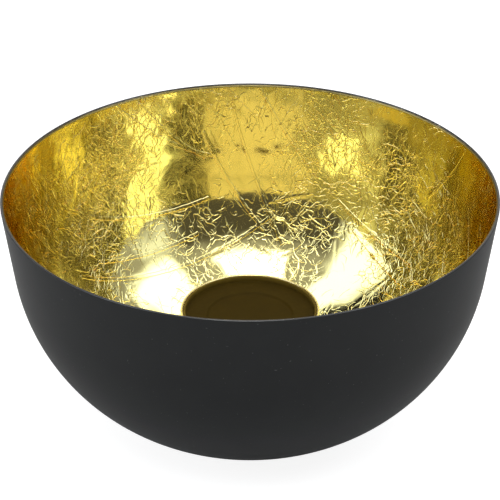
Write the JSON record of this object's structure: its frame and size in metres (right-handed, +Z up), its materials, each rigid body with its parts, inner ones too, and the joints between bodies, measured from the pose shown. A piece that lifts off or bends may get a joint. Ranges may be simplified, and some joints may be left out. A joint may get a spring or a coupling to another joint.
{
  "type": "candle bowl",
  "caption": "Deep round sheet-metal bowl, matt black outside and lined with crinkled gold leaf, with a raised round candle stand in the middle.",
  "frame": {"origin": "on the bowl's axis, at the level that the bowl stands on", "axes": "+Z up along the bowl's axis; the bowl is round, so +X and +Y are free, and the screw's and nut's hexagons have corners on X"},
  "size_m": [0.1448, 0.1448, 0.075],
  "materials": {
    "black_coat": "matt charcoal-black coat on sheet steel",
    "gold_leaf": "crinkled metal leaf under clear lacquer, shiny",
    "gold_stand": "gold lacquer on sheet steel, satin",
    "antique_gold": "dark antique gold, satin",
    "zinc_fixings": "zinc plated",
    "black_felt": "pressed felt"
  },
  "bodies": {
    "root": {"bowl_shell": "black_coat", "gold_leaf_lining": "gold_leaf", "candle_stand": "gold_stand", "candle_dish": "antique_gold", "fixing_screw": "zinc_fixings", "fixing_washer": "zinc_fixings", "stand_nut": "zinc_fixings", "base_pad": "black_felt"}
  },
  "joints": []
}
